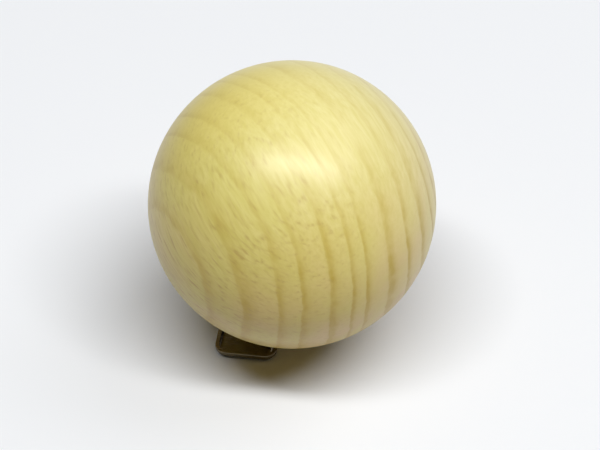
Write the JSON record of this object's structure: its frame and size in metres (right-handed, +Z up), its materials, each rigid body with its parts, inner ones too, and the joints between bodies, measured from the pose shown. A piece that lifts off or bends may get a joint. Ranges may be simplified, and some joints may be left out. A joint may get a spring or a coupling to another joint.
{
  "type": "wooden ball with a spring clip",
  "caption": "Turned beech ball that stands on a small folded spring clip. A round-head screw holds the clip to the ball's foot, and a wide tab opens the jaw.",
  "frame": {"origin": "on the floor, under the centre of the ball, which is also the centre of the bounding box's bottom", "axes": "+Z up through the centre of the ball, +X from the clip's tab towards its fold, +Y across the clip"},
  "size_m": [0.04, 0.04, 0.0434],
  "materials": {
    "beech": "turned, sanded and clear lacquered",
    "clip_nickel": "nickel plated, polished",
    "screw_nickel": "nickel plated, satin"
  },
  "bodies": {
    "root": {"ball": "beech", "clip": "clip_nickel", "screw": "screw_nickel"}
  },
  "joints": []
}
